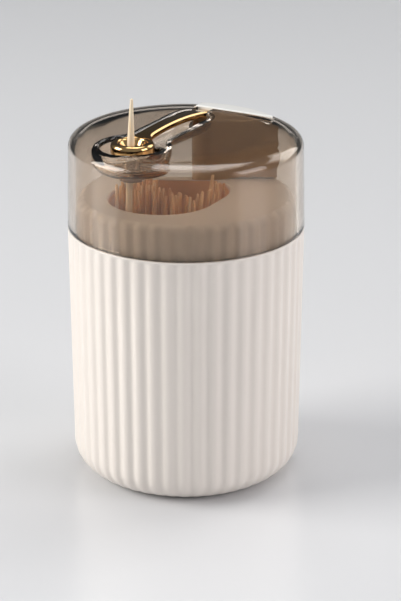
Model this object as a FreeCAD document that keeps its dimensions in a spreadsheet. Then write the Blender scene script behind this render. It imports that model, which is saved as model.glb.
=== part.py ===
import FreeCAD, Part
import math
import os
import re
import Sketcher

# Toothpick dispenser: a fluted jar with a clear lid. A D-shaped button at the back of the
# lid carries a gold arm, whose eyelet holds the nozzle that the picks come out of.
# Frame: millimetres, +Z up, origin on the jar's axis at the bottom of its foot pad.
# The lever frame is the same frame turned about Z by lever_azimuth: its X runs from the
# nozzle to the button, along the arm.

V = FreeCAD.Vector
UP = V(0, 0, 1)

SIZES = [
    # jar shell
    ("body_radius", 33.5, "outer radius of the jar at its rim"),
    ("body_height", 73.5, "height of the rim above the table"),
    ("body_draft", 0.75, "radius that the side loses down to the base round"),
    ("base_round", 8.6, "radius of the round under the side"),
    ("foot_lift", 0.25, "foot ring above the table"),
    ("body_wall", 2.2, "side wall of the shell at its rim"),
    ("floor_wall", 2.6, "floor of the shell"),
    ("ledge_width", 1.6, "ledge inside the rim that carries the liner"),
    ("flute_count", 48, "flutes round the jar and the neck"),
    ("flute_depth", 0.5, "depth of a flute"),
    ("flute_land", 0.26, "share of a flute's pitch that is land"),
    ("flute_floor", 0.30, "share of a flute's pitch that is floor"),
    ("flute_turn", 2.8, "turn of the first flute from the X axis, in degrees"),
    ("rim_band", 0.9, "plain band between the flutes and the rim"),
    # foot pad
    ("pad_radius", 21.5, "outer radius of the foot pad"),
    ("pad_hole", 13.0, "inner radius of the foot pad"),
    ("pad_thickness", 1.4, "thickness of the foot pad"),
    # liner: neck, deck and cup in one moulding
    ("neck_gap", 0.3, "neck to the wall of the shell"),
    ("neck_height", 9.5, "deck above the rim"),
    ("neck_depth", 7.5, "spigot of the neck inside the shell"),
    ("neck_round", 2.4, "round between the neck and the deck"),
    ("neck_wall", 1.9, "wall of the neck"),
    ("deck_wall", 1.9, "thickness of the deck"),
    ("cup_set", 11.35, "near round end of the oval pick cup from the nozzle, along the arm"),
    ("cup_across", 3.55, "middle of the pick cup across the arm, in the lever frame"),
    ("cup_half", 14.9, "inner radius of the cup's two round ends"),
    ("cup_run", 8.7, "straight run of the cup between its round ends"),
    ("cup_wall", 1.5, "wall and floor of the pick cup"),
    ("pick_proud", 1.5, "points of the standing picks above the deck"),
    ("mouth_bevel", 0.5, "bevel at the mouth of the cup"),
    # picks
    ("pick_length", 65.0, "length of a toothpick"),
    ("pick_radius", 1.0, "radius of a toothpick"),
    ("pick_point", 0.38, "radius of a toothpick's blunt point"),
    ("pick_taper", 12.0, "length of each tapered end"),
    ("bunch_pitch", 3.7, "spacing of the picks in the cup"),
    ("bunch_set", 4.9, "near end of the bunch from the nozzle, along the arm"),
    ("bunch_gap", 0.35, "picks to the wall of the cup and to the housing"),
    ("served_rise", 12.0, "served pick's point above the eyelet"),
    ("served_lean", 1.5, "lean of the served pick, in degrees"),
    ("served_shift", 0.1, "served pick's point off the nozzle's axis"),
    # lid
    ("lid_height", 27.3, "height of the lid above the rim"),
    ("lid_draft", 0.5, "radius that the lid's side loses up to the shoulder"),
    ("lid_shoulder", 4.4, "radius of the lid's outer shoulder"),
    ("lid_wall", 2.1, "side wall of the lid"),
    ("lid_top_wall", 2.0, "top plate of the lid"),
    ("lid_inner_bevel", 1.0, "bevel inside the lid's shoulder"),
    # recess of the lid under the arm and the nozzle
    ("lever_azimuth", 61.3, "direction from the nozzle to the button, in degrees"),
    ("lever_offset", 6.2, "arm's centre line from the jar's axis, in the lever frame"),
    ("nozzle_margin", 14.6, "nozzle from the jar's side, along the arm"),
    ("bowl_radius", 9.2, "inner radius of the bowl round the nozzle"),
    ("bowl_round", 4.2, "round at the foot of the bowl"),
    ("bowl_gap", 0.7, "eyelet to the bowl's floor with the button down"),
    ("trough_half", 5.2, "half the inner width of the trough"),
    ("trough_margin", 3.75, "far end of the trough to the button's straight front edge"),
    ("trough_tilt", 2.8, "slope of the trough's floor, in degrees"),
    ("trough_round", 2.9, "round at the foot of the trough"),
    ("trough_gap", 0.7, "arm to the trough's floor with the button down"),
    ("recess_wall", 1.6, "wall of the bowl and the trough"),
    ("boss_radius", 3.4, "outer radius of the boss under the bowl"),
    ("boss_drop", 2.0, "boss below the bowl's floor"),
    # arm and nozzle
    ("stroke", 3.0, "travel of the button and the nozzle"),
    ("arm_width", 4.2, "width of the arm"),
    ("arm_thickness", 1.7, "thickness of the arm"),
    ("arm_rise", 1.2, "top of the arm above the lid where it leaves the eyelet"),
    ("arm_sink", 0.7, "top of the arm's tail below the lid"),
    ("arm_arch", 130.0, "radius of the arm's arch"),
    ("arm_blend", 5.0, "radius that joins the arm and the eyelet in plan"),
    ("blend_inset", 0.3, "blend's start inside the eyelet's outer edge"),
    ("eyelet_radius", 6.1, "outer radius of the eyelet"),
    ("eyelet_rise", 0.9, "crest of the eyelet above the lid"),
    ("eyelet_height", 3.3, "height of the eyelet"),
    ("eyelet_dome", 1.2, "round over the eyelet's rim"),
    ("eyelet_bevel", 0.4, "bevel under the eyelet's rim"),
    ("eyelet_bore", 3.9, "bore that seats the nozzle cup"),
    ("nozzle_rim", 3.5, "radius of the dish in the nozzle cup"),
    ("nozzle_sink", 0.45, "nozzle cup below the eyelet's crest"),
    ("nozzle_throat", 1.85, "bore of the nozzle tube"),
    ("tube_radius", 2.35, "outer radius of the nozzle tube"),
    ("tube_seat", 0.9, "depth of the tube's seat in the nozzle cup"),
    ("tube_lift", 0.3, "foot of the nozzle tube above the foot of the boss"),
    ("tube_clearance", 0.05, "running clearance of the tube in its bush"),
    ("bush_wall", 0.45, "wall of the guide bush"),
    ("bush_root", 0.5, "part of the bowl's wall that the boss reaches into"),
    ("grip_height", 1.2, "height of the soft grip ring"),
    ("grip_clearance", 0.04, "grip ring to the pick"),
    # button
    ("button_margin", 5.2, "rim of the lid behind the button's curved back edge"),
    ("button_depth", 5.15, "button from its straight front edge to its back edge"),
    ("button_side", 3.435, "straight side at the button's left end"),
    ("button_tip", 0.85, "straight side at the button's narrow right end"),
    ("button_proud", 0.3, "button above the lid"),
    ("button_thickness", 2.8, "thickness of the button cap"),
    ("button_gap", 0.25, "gap round the button"),
    ("button_edge", 0.45, "round on the button's top edge"),
    ("button_corner", 0.3, "round on the button's upright corners"),
    ("core_right", 9.0, "right end of the plunger core, in the lever frame"),
    ("core_inset", 0.3, "plunger core inside the button's outline"),
    ("core_gap", 0.8, "core to the housing's cover with the button down"),
    ("tail_gap", 1.5, "end of the arm's tail to the back of the core"),
    # button housing
    ("box_depth", 18.2, "housing from its flat front to its curved back"),
    ("box_left", 1.6, "left side of the housing"),
    ("box_side", 3.2, "right side of the housing from its curved back's widest place"),
    ("box_gap", 0.1, "curved back of the housing to the bevel inside the lid"),
    ("box_corner", 6.0, "round at the housing's front left corner"),
    ("box_lift", 0.4, "housing above the deck"),
    ("cover_inset", 1.3, "rim of the housing round its cover"),
    ("cover_thickness", 1.5, "thickness of the cover"),
    ("fit_gap", 0.1, "cover to the housing"),
    ("slot_gap", 0.4, "slot to each side of the arm"),
    # fasteners and spring
    ("screw_radius", 0.8, "shank of a screw"),
    ("head_radius", 1.4, "head of a screw"),
    ("head_height", 0.8, "height of a screw head"),
    ("box_screw_length", 6.0, "length of a housing screw under its head"),
    ("box_screw_left", 7.4, "first housing screw from the housing's left side"),
    ("box_screw_right", 15.6, "second housing screw from the housing's left side"),
    ("box_screw_front", 3.3, "housing screws from the housing's front"),
    ("arm_screw_length", 4.0, "length of the arm screw under its head"),
    ("arm_screw_set", 2.1, "arm screw from the button's straight front edge"),
    ("arm_screw_cover", 0.3, "arm screw's end below the top of the arm's tail"),
    ("spring_radius", 1.5, "mean radius of the return spring"),
    ("spring_wire", 0.22, "radius of the spring wire"),
    ("spring_turns", 4, "turns of the return spring"),
    ("spring_set", 2.6, "spring from the button's straight front edge"),
    ("spring_side", -2.6, "spring across the arm, in the lever frame"),
    ("spring_pocket", 2.6, "depth of the spring's pocket in the core"),
    ("spring_gap", 0.3, "spring to the wall of its pocket"),
]

# Heights and sizes that follow from the driving ones.
LID_TOP = "(body_height + lid_height)"
LID_UNDER = "(body_height + lid_height - lid_top_wall)"
DECK = "(body_height + neck_height)"
CUP_FLOOR = "(body_height + neck_height + pick_proud - pick_length)"
NECK_RADIUS = "(body_radius - body_wall - neck_gap)"
EYELET_TOP = "(body_height + lid_height + eyelet_rise)"
EYELET_FOOT = "(body_height + lid_height + eyelet_rise - eyelet_height)"
BOWL_FLOOR = "(body_height + lid_height + eyelet_rise - eyelet_height - stroke - bowl_gap)"
BOSS_FOOT = "(%s - recess_wall - boss_drop)" % BOWL_FLOOR
ARM_START = "(body_height + lid_height + arm_rise)"
ARM_END = "(body_height + lid_height - arm_sink)"
TROUGH_FLOOR = "(body_height + lid_height + arm_rise - arm_thickness - stroke - trough_gap)"
BOX_FOOT = "(body_height + neck_height + box_lift)"
BOX_RADIUS = "(body_radius - lid_draft - lid_wall - lid_inner_bevel - box_gap)"
BOX_FRONT = "(%s - box_depth)" % BOX_RADIUS
BOX_RIGHT = "(%s - box_side)" % BOX_RADIUS
BUTTON_RADIUS = "(body_radius - button_margin)"
BUTTON_FRONT = "(body_radius - button_margin - button_depth)"
BUTTON_LEFT = "sqrt(%s ^ 2 - (%s + button_side) ^ 2)" % (BUTTON_RADIUS, BUTTON_FRONT)
BUTTON_RIGHT = "sqrt(%s ^ 2 - (%s + button_tip) ^ 2)" % (BUTTON_RADIUS, BUTTON_FRONT)
TROUGH_END = "(%s - trough_margin)" % BUTTON_FRONT
CAP_TOP = "(body_height + lid_height + button_proud)"
CAP_FOOT = "(body_height + lid_height + button_proud - button_thickness)"
TAIL_FOOT = "(body_height + lid_height - arm_sink - arm_thickness)"
TAIL_REACH = "(body_radius - button_margin - core_inset - tail_gap)"
CORE_FOOT = "(%s + cover_thickness + stroke + core_gap)" % BOX_FOOT
NOZZLE_TOP = "(%s - nozzle_sink)" % EYELET_TOP
TUBE_TOP = "(%s + tube_seat)" % EYELET_FOOT
TUBE_FOOT = "(%s + tube_lift)" % BOSS_FOOT
SIDE_FOOT_RADIUS = "(body_radius - body_draft)"
SIDE_FOOT_HEIGHT = "(foot_lift + base_round)"
NOZZLE_REACH = "(body_radius - nozzle_margin)"
CUP_NEAR = "(cup_set - %s)" % NOZZLE_REACH
NOZZLE_X = "(-%s * cos(lever_azimuth) - lever_offset * sin(lever_azimuth))" % NOZZLE_REACH
NOZZLE_Y = "(-%s * sin(lever_azimuth) + lever_offset * cos(lever_azimuth))" % NOZZLE_REACH

doc = FreeCAD.newDocument("ToothpickDispenser")
sheet = doc.addObject("Spreadsheet::Sheet", "Sizes")
for row, (alias, size, note) in enumerate(SIZES, start=1):
    sheet.set("A%d" % row, note)
    sheet.set("B%d" % row, str(size))
    sheet.setAlias("B%d" % row, alias)
doc.recompute()
NAMES = re.compile(r"\b(" + "|".join(alias for alias, size, note in SIZES) + r")\b")


def bound(text):
    return NAMES.sub(r"Sizes.\1", str(text))


def number(text):
    return float(sheet.evalExpression(bound(text)))


def bind(thing, prop, text):
    thing.setExpression(prop, bound(text))


def place(thing, x="0", y="0", z="0", turn=None):
    for axis, text in (("x", x), ("y", y), ("z", z)):
        bind(thing, "Placement.Base." + axis, text)
    if turn:
        bind(thing, "Placement.Rotation.Angle", turn)
    return thing


# --- primitives and booleans -------------------------------------------------------------

def cylinder(name, radius, height, x="0", y="0", z="0"):
    thing = doc.addObject("Part::Cylinder", name)
    bind(thing, "Radius", radius)
    bind(thing, "Height", height)
    return place(thing, x, y, z)


def fuse(name, *things):
    thing = doc.addObject("Part::MultiFuse", name)
    thing.Shapes = list(things)
    return thing


def common(name, first, second):
    thing = doc.addObject("Part::MultiCommon", name)
    thing.Shapes = [first, second]
    return thing


def cut(name, base, *tools):
    thing = doc.addObject("Part::Cut", name)
    thing.Base = base
    thing.Tool = tools[0] if len(tools) == 1 else fuse(name + "_tools", *tools)
    return thing


# --- sketches ----------------------------------------------------------------------------

def origin_plane(body, role):
    return [feature for feature in body.Origin.OriginFeatures if feature.Role == role][0]


def bent(start, end, radius):
    # An arc from start to end; a positive radius turns left, a negative one right.
    middle = (start + end) * 0.5
    run = end - start
    left = V(-run.y, run.x, 0).normalize()
    size = abs(radius)
    rise = math.sqrt(size ** 2 - (run.Length / 2) ** 2)
    side = 1 if radius > 0 else -1
    centre = middle + left * rise * side
    top = centre - left * size * side
    return Part.Arc(start, top, end) if side > 0 else Part.Arc(end, top, start)


def draw(sketch, outline):
    # The outline's corners are (x, y) or (x, y, radius) in the sheet's terms; a radius
    # bends the edge that leaves its corner.
    corners = [V(number(corner[0]), number(corner[1]), 0) for corner in outline]
    count = len(outline)
    starts, ends = [], []
    for index, corner in enumerate(outline):
        start, end = corners[index], corners[(index + 1) % count]
        if len(corner) == 2:
            edge = sketch.addGeometry(Part.LineSegment(start, end), False)
            starts.append((edge, 1))
            ends.append((edge, 2))
            continue
        radius = number(corner[2])
        edge = sketch.addGeometry(bent(start, end, radius), False)
        starts.append((edge, 1 if radius > 0 else 2))
        ends.append((edge, 2 if radius > 0 else 1))
    for index, corner in enumerate(outline):
        edge, end = starts[index]
        sketch.addConstraint(Sketcher.Constraint("Coincident", *ends[index - 1], edge, end))
        for kind, text, axis in (("DistanceX", corner[0], -2), ("DistanceY", corner[1], -1)):
            if text == "0":
                sketch.addConstraint(Sketcher.Constraint("PointOnObject", edge, end, axis))
                continue
            rule = Sketcher.Constraint(kind, -1, 1, edge, end, number(text))
            name = "%s%d" % (kind[-1].lower(), index)
            sketch.renameConstraint(sketch.addConstraint(rule), name)
            bind(sketch, "Constraints." + name, text)
        if len(corner) == 3:
            rule = Sketcher.Constraint("Radius", edge, abs(number(corner[2])))
            name = "r%d" % index
            sketch.renameConstraint(sketch.addConstraint(rule), name)
            bind(sketch, "Constraints." + name, "abs(%s)" % corner[2])


def sketched(name, role, outline, offset="0"):
    body = doc.addObject("PartDesign::Body", name)
    sketch = body.newObject("Sketcher::SketchObject", name + "_outline")
    sketch.AttachmentSupport = [(origin_plane(body, role), "")]
    sketch.MapMode = "FlatFace"
    bind(sketch, "AttachmentOffset.Base.z", offset)
    draw(sketch, outline)
    return body, sketch


def turned(name, outline, x="0", y="0", turn=None):
    body, sketch = sketched(name, "XZ_Plane", outline)
    feature = body.newObject("PartDesign::Revolution", name + "_turn")
    feature.Profile = sketch
    feature.ReferenceAxis = (sketch, ["V_Axis"])
    feature.Angle = 360
    return place(body, x, y, "0", turn)


def raised(name, outline, low, high, turn=None, tilt=None):
    body, sketch = sketched(name, "XY_Plane", outline, low)
    if tilt:
        sketch.AttachmentOffset = FreeCAD.Placement(V(), FreeCAD.Rotation(V(0, 1, 0), 1))
        bind(sketch, "AttachmentOffset.Rotation.Angle", tilt)
    feature = body.newObject("PartDesign::Pad", name + "_pad")
    feature.Profile = sketch
    bind(feature, "Length", "(%s) - (%s)" % (high, low))
    return place(body, turn=turn)


def across_arm(name, outline, width):
    # A side view of the arm's plane, padded to both sides of the arm's centre line. The
    # sketch plane's own Z points to -Y, so the offset to the centre line is negative.
    body, sketch = sketched(name, "XZ_Plane", outline, "-lever_offset")
    feature = body.newObject("PartDesign::Pad", name + "_pad")
    feature.Profile = sketch
    feature.Midplane = True
    bind(feature, "Length", width)
    return place(body, turn="lever_azimuth")


def fillet(body, name, radius, chosen):
    # Rounds the edges of the body's tip that chosen(edge) picks.
    doc.recompute()
    base = body.Tip
    names = ["Edge%d" % (index + 1) for index, edge in enumerate(base.Shape.Edges) if chosen(edge)]
    feature = body.newObject("PartDesign::Fillet", name)
    feature.Base = (base, names)
    bind(feature, "Radius", radius)
    return feature


def is_upright(edge):
    start, end = edge.Vertexes[0].Point, edge.Vertexes[-1].Point
    return (end - start).Length > 0.1 and abs((end - start).normalize().z) > 0.999


def lies_across(edge):
    # The straight edge at the trough's open end, which no fillet rounds.
    return isinstance(edge.Curve, Part.Line) and abs(edge.tangentAt(edge.FirstParameter).y) > 0.99


def lies_at(edge, height):
    return all(abs(vertex.Point.z - height) < 0.01 for vertex in edge.Vertexes)


# --- fluted forms -------------------------------------------------------------------------

def banded_solid(rings):
    # A closed solid of flat faces through rings of corners, from the bottom ring up.
    faces = [Part.Face(Part.makePolygon(ring + ring[:1])) for ring in (rings[0], rings[-1])]
    for lower, upper in zip(rings, rings[1:]):
        for index, corner in enumerate(lower):
            beside = (index + 1) % len(lower)
            quad = [corner, lower[beside], upper[beside], upper[index]]
            normal = (quad[1] - quad[0]).cross(quad[2] - quad[0]).normalize()
            if abs(normal.dot(quad[3] - quad[0])) < 1e-7:
                patches = [quad]
            else:
                patches = [quad[:3], quad[2:] + quad[:1]]
            faces += [Part.Face(Part.makePolygon(patch + patch[:1])) for patch in patches]
    shell = Part.makeShell(faces)
    shell.sewShape()
    return Part.Solid(shell)


def fluted_ring(radius, depth, height):
    # A closed outline of straight edges: each flute has a land, a slope, a floor, a slope.
    count = int(round(number("flute_count")))
    pitch = 2 * math.pi / count
    land, floor = number("flute_land") * pitch, number("flute_floor") * pitch
    corners = []
    for index in range(count):
        middle = pitch * index + math.radians(number("flute_turn"))
        for angle, reach in ((middle - floor / 2, radius - depth), (middle + floor / 2, radius - depth),
                             (middle + pitch / 2 - land / 2, radius), (middle + pitch / 2 + land / 2, radius)):
            corners.append(V(reach * math.cos(angle), reach * math.sin(angle), height))
    return corners


def fluted_solid(name, rings):
    # rings are (radius, flute depth, height) in numbers, from the bottom up.
    thing = doc.addObject("Part::Feature", name)
    thing.Shape = banded_solid([fluted_ring(*ring) for ring in rings])
    return thing


def rounded_rings(outer, height, size, depth, steps, upward):
    # Rings over a round of the given size; the flutes keep their depth until it fades.
    rings = []
    for step in range(steps + 1):
        angle = math.radians(90) * step / steps
        reach = outer - size * (1 - math.cos(angle))
        rise = size * math.sin(angle)
        fade = min(1.0, 1.25 * math.cos(angle))
        rings.append((reach, depth * fade, height + rise if upward else height - rise))
    return rings


# --- jar ----------------------------------------------------------------------------------

def jar_shell():
    side_radius, side_height = number(SIDE_FOOT_RADIUS), number(SIDE_FOOT_HEIGHT)
    size, depth = number("base_round"), number("flute_depth")
    rim = number("body_height")
    band = number("rim_band")
    rings = rounded_rings(side_radius, side_height, size, depth, 5, False)[::-1]
    rings.append((number("body_radius"), depth, rim - band))
    rings.append((number("body_radius"), depth * 0.1, rim - band * 0.5))
    rings.append((number("body_radius"), depth * 0.1, rim))
    outside = fluted_solid("shell_outside", rings)
    inner = "(body_radius - body_wall)"
    inner_foot = "(body_radius - body_wall - body_draft - ledge_width)"
    ledge = "(body_height - neck_depth)"
    floor = "(pad_thickness + floor_wall)"
    inside = turned("shell_inside", [
        ("0", floor),
        (inner_foot + " - base_round * 0.4", floor),
        (inner_foot, floor + " + base_round * 0.4"),
        (inner + " - ledge_width", ledge),
        (inner, ledge),
        (inner, "body_height + 1"),
        ("0", "body_height + 1"),
    ])
    pad_seat = cylinder("shell_pad_seat", "pad_radius + fit_gap", "pad_thickness", z="0")
    return cut("jar_shell", outside, inside, pad_seat)


def foot_pad():
    disc = cylinder("pad_disc", "pad_radius", "pad_thickness")
    hole = cylinder("pad_hole_tool", "pad_hole", "pad_thickness + 2", z="-1")
    return cut("foot_pad", disc, hole)


def cup_outline(grow):
    # An oval along the arm: two round ends joined by straight sides.
    half = "(cup_half + %s)" % grow
    near, far = CUP_NEAR, "(%s + cup_run)" % CUP_NEAR
    return [
        (near, "cup_across - " + half),
        (far, "cup_across - " + half, half),
        (far + " + " + half, "cup_across", half),
        (far, "cup_across + " + half),
        (near, "cup_across + " + half, half),
        (near + " - " + half, "cup_across", half),
    ]


def liner():
    # Fluted neck with a rounded deck edge, and the pick cup hanging off the deck.
    radius, depth = number(NECK_RADIUS), number("flute_depth")
    size, top = number("neck_round"), number(DECK)
    foot = number("body_height - neck_depth")
    rings = [(radius, depth, foot)]
    rings += rounded_rings(radius, top - size, size, depth, 4, True)
    outside = fluted_solid("liner_outside", rings)
    under_deck = "(%s - deck_wall)" % DECK
    hollow = turned("liner_hollow", [
        ("0", "body_height - neck_depth - 1"),
        (NECK_RADIUS + " - neck_wall", "body_height - neck_depth - 1"),
        (NECK_RADIUS + " - neck_wall", under_deck + " - neck_round * 0.4"),
        (NECK_RADIUS + " - neck_wall - neck_round * 0.4", under_deck),
        ("0", under_deck),
    ])
    ring = cut("liner_ring", outside, hollow)
    cup = raised("liner_cup", cup_outline("cup_wall"), CUP_FLOOR + " - cup_wall",
                 DECK + " - deck_wall * 0.5", "lever_azimuth")
    cup_inside = raised("liner_cup_inside", cup_outline("0"), CUP_FLOOR, DECK + " + 1", "lever_azimuth")
    mouth = raised("liner_mouth", cup_outline("0"), DECK + " - mouth_bevel", DECK + " + mouth_bevel",
                   "lever_azimuth")
    mouth.Tip.TaperAngle = 45
    return cut("pick_liner", fuse("liner_whole", ring, cup), cup_inside, mouth)


# --- picks --------------------------------------------------------------------------------

def facetted_pick(sides):
    # A pick on Z from 0 to its length: a straight middle and two tapered ends.
    radius, point = number("pick_radius"), number("pick_point")
    length, taper = number("pick_length"), number("pick_taper")
    rings = []
    for reach, height in ((point, 0), (radius, taper), (radius, length - taper), (point, length)):
        rings.append([V(reach * math.cos(2 * math.pi * side / sides),
                        reach * math.sin(2 * math.pi * side / sides), height) for side in range(sides)])
    return banded_solid(rings)


def served_axis():
    # Where the served pick's point is, and the direction that it points in.
    lean = math.radians(number("served_lean"))
    tip = V(number(NOZZLE_X + " - served_shift"), number(NOZZLE_Y), number(EYELET_TOP + " + served_rise"))
    return tip, V(math.sin(lean), 0, math.cos(lean))


def toothpick_bunch():
    # Picks stand on the cup's floor on a hexagonal grid in the lever frame, clear of the
    # cup's wall, of the housing and of the end where the served pick is.
    pitch, radius = number("bunch_pitch"), number("pick_radius")
    middle = V(number(CUP_NEAR + " + cup_run / 2"), number("cup_across"), 0)
    start = number("bunch_set - " + NOZZLE_REACH) + radius
    reach = number("cup_half - bunch_gap") - radius
    half_run = number("cup_run / 2")
    box_left = number("box_left - bunch_gap") - radius
    box_front = number(BOX_FRONT + " - bunch_gap") - radius
    turn = FreeCAD.Rotation(UP, number("lever_azimuth"))
    rows = int((reach + half_run) / (pitch * 0.866)) + 1
    pick = facetted_pick(6)
    picks = []
    for row in range(-rows, rows + 1):
        for column in range(-rows, rows + 1):
            step = V(row * pitch * 0.866, (column + 0.5 * (row % 2)) * pitch, 0)
            past_run = max(0.0, abs(step.x) - half_run)
            spot = turn.multVec(middle + step)
            if math.hypot(past_run, step.y) > reach or middle.x + step.x < start:
                continue
            if spot.x > box_left and spot.y > box_front:
                continue
            one = pick.copy()
            one.translate(V(spot.x, spot.y, number(CUP_FLOOR)))
            picks.append(one)
    thing = doc.addObject("Part::Feature", "toothpick_bunch")
    thing.Shape = Part.makeCompound(picks)
    return thing


def served_toothpick():
    tip, direction = served_axis()
    thing = doc.addObject("Part::Feature", "served_toothpick")
    thing.Shape = facetted_pick(16)
    base = tip - direction * number("pick_length")
    thing.Placement = FreeCAD.Placement(base, FreeCAD.Rotation(UP, direction))
    return thing


# --- lid ----------------------------------------------------------------------------------

def lid_outline(top_radius, side_radius, foot, top, shoulder, bend=None):
    # A cover's profile; bend rounds its shoulder, which is a plain bevel otherwise.
    corner = (top_radius, top + " - " + shoulder)
    return [
        ("0", foot),
        (side_radius, foot),
        corner + (bend,) if bend else corner,
        (top_radius + " - " + shoulder, top),
        ("0", top),
    ]


def recess(name, grow):
    # The bowl and the trough, grown by a wall; each is rounded at its foot.
    top = "(%s + 3)" % LID_TOP
    bowl = turned(name + "_bowl", [
        ("0", BOWL_FLOOR + " - " + grow),
        ("bowl_radius - bowl_round", BOWL_FLOOR + " - " + grow, "bowl_round + " + grow),
        ("bowl_radius + " + grow, BOWL_FLOOR + " + bowl_round"),
        ("bowl_radius + " + grow, top),
        ("0", top),
    ], NOZZLE_X, NOZZLE_Y, "lever_azimuth")
    half = "(trough_half + %s)" % grow
    near, middle = "-" + NOZZLE_REACH, "(%s - trough_half)" % TROUGH_END
    trough = raised(name + "_trough", [
        (near, "lever_offset - " + half),
        (middle, "lever_offset - " + half, half),
        (middle + " + " + half, "lever_offset", half),
        (middle, "lever_offset + " + half),
        (near, "lever_offset + " + half),
    ], TROUGH_FLOOR + " - " + grow, top, "lever_azimuth", "trough_tilt")
    doc.recompute()
    floor = max(trough.Tip.Shape.Faces, key=lambda face: -face.CenterOfMass.z)
    rounded = [edge.hashCode() for edge in floor.Edges if not lies_across(edge)]
    fillet(trough, name + "_trough_foot", "trough_round + " + grow,
           lambda edge: edge.hashCode() in rounded)
    return fuse(name, bowl, trough)


def button_outline(grow, right=BUTTON_RIGHT):
    reach = "(%s + %s)" % (BUTTON_RADIUS, grow)
    left, right = "(%s + %s)" % (BUTTON_LEFT, grow), "(%s + %s)" % (right, grow)
    front = "%s - (%s)" % (BUTTON_FRONT, grow)
    return [
        (front, "-" + right),
        ("sqrt(%s ^ 2 - %s ^ 2)" % (reach, right), "-" + right, reach),
        ("sqrt(%s ^ 2 - %s ^ 2)" % (reach, left), left),
        (front, left),
    ]


def arm_slot(name):
    # The way of the arm's tail into the housing, over the whole stroke.
    half = "(arm_width / 2 + slot_gap)"
    foot = "(%s - stroke - trough_gap)" % TAIL_FOOT
    return raised(name, [
        (TROUGH_END + " - 2", "lever_offset - " + half),
        (BUTTON_FRONT + " + 1", "lever_offset - " + half),
        (BUTTON_FRONT + " + 1", "lever_offset + " + half),
        (TROUGH_END + " - 2", "lever_offset + " + half),
    ], foot, LID_TOP + " + 1", "lever_azimuth")


def lid_cover(outer_recess, inner_recess):
    outside = turned("lid_outside", lid_outline(
        "(body_radius - lid_draft)", "body_radius", "body_height", LID_TOP, "lid_shoulder", "lid_shoulder"))
    inside = turned("lid_inside", lid_outline(
        "(body_radius - lid_draft - lid_wall)", "body_radius - lid_wall", "body_height - 1",
        LID_UNDER, "lid_inner_bevel"))
    boss = cylinder("lid_boss", "boss_radius", "boss_drop + bush_root", NOZZLE_X, NOZZLE_Y, BOSS_FOOT)
    walls = common("lid_recess_walls", fuse("lid_recess_whole", outer_recess, boss), outside)
    shell = cut("lid_shell", outside, cut("lid_hollow", inside, walls))
    opening = raised("lid_button_opening", button_outline("button_gap"), LID_UNDER + " - 1",
                     LID_TOP + " + 1", "lever_azimuth")
    bore = cylinder("lid_bush_bore", "tube_radius + tube_clearance + bush_wall",
                    "boss_drop + recess_wall + 2", NOZZLE_X, NOZZLE_Y, BOSS_FOOT + " - 1")
    return cut("lid_cover", shell, inner_recess, opening, arm_slot("lid_arm_slot"), bore)


def guide_bush():
    outer = "(tube_radius + tube_clearance + bush_wall)"
    return turned("guide_bush", [
        ("tube_radius + tube_clearance", BOSS_FOOT),
        (outer, BOSS_FOOT),
        (outer, BOWL_FLOOR),
        ("tube_radius + tube_clearance", BOWL_FLOOR),
    ], NOZZLE_X, NOZZLE_Y)


# --- arm and nozzle -----------------------------------------------------------------------

def lever_arm(screw):
    eyelet = turned("arm_eyelet", [
        ("eyelet_bore", EYELET_FOOT),
        ("eyelet_radius - eyelet_bevel", EYELET_FOOT),
        ("eyelet_radius", EYELET_FOOT + " + eyelet_bevel"),
        ("eyelet_radius", EYELET_TOP + " - eyelet_dome", "eyelet_dome"),
        ("eyelet_radius - eyelet_dome", EYELET_TOP),
        ("eyelet_bore", NOZZLE_TOP),
    ], NOZZLE_X, NOZZLE_Y)
    # Side view of the arched strip with its flat tail under the button.
    start = "(-%s + eyelet_bore + blend_inset)" % NOZZLE_REACH
    strip = across_arm("arm_strip", [
        (start, ARM_START + " - arm_thickness", "-arm_arch"),
        (BUTTON_FRONT, TAIL_FOOT),
        (TAIL_REACH, TAIL_FOOT),
        (TAIL_REACH, ARM_END),
        (BUTTON_FRONT, ARM_END, "arm_arch"),
        (start, ARM_START),
    ], "2 * eyelet_radius")
    # Plan view: the arm's sides flow into the eyelet in two round blends.
    ring = "(eyelet_radius - blend_inset)"
    across = "(arm_width / 2 + arm_blend)"
    along = "sqrt((%s + arm_blend) ^ 2 - %s ^ 2)" % (ring, across)
    arm_side = "-%s + %s" % (NOZZLE_REACH, along)
    ring_side = "-%s + %s * %s / (%s + arm_blend)" % (NOZZLE_REACH, ring, along, ring)
    ring_reach = "%s * %s / (%s + arm_blend)" % (ring, across, ring)
    plan = raised("arm_plan", [
        (ring_side, "lever_offset - " + ring_reach, "-arm_blend"),
        (arm_side, "lever_offset - arm_width / 2"),
        (TAIL_REACH, "lever_offset - arm_width / 2"),
        (TAIL_REACH, "lever_offset + arm_width / 2"),
        (arm_side, "lever_offset + arm_width / 2", "-arm_blend"),
        (ring_side, "lever_offset + " + ring_reach),
    ], EYELET_FOOT + " - 6", ARM_START + " + 6", "lever_azimuth")
    strip_only = common("arm_strip_trimmed", strip, plan)
    bore = cylinder("arm_bore", "eyelet_bore", "eyelet_height + 10", NOZZLE_X, NOZZLE_Y, EYELET_FOOT + " - 5")
    return cut("lever_arm", fuse("arm_whole", eyelet, strip_only), bore, screw)


def nozzle_cup():
    return turned("nozzle_cup", [
        ("tube_radius", EYELET_FOOT),
        ("eyelet_bore", EYELET_FOOT),
        ("eyelet_bore", NOZZLE_TOP),
        ("nozzle_rim", NOZZLE_TOP),
        ("nozzle_throat", TUBE_TOP),
        ("tube_radius", TUBE_TOP),
    ], NOZZLE_X, NOZZLE_Y)


def nozzle_tube():
    return turned("nozzle_tube", [
        ("nozzle_throat", TUBE_FOOT),
        ("tube_radius", TUBE_FOOT),
        ("tube_radius", TUBE_TOP),
        ("nozzle_throat", TUBE_TOP),
    ], NOZZLE_X, NOZZLE_Y)


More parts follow.
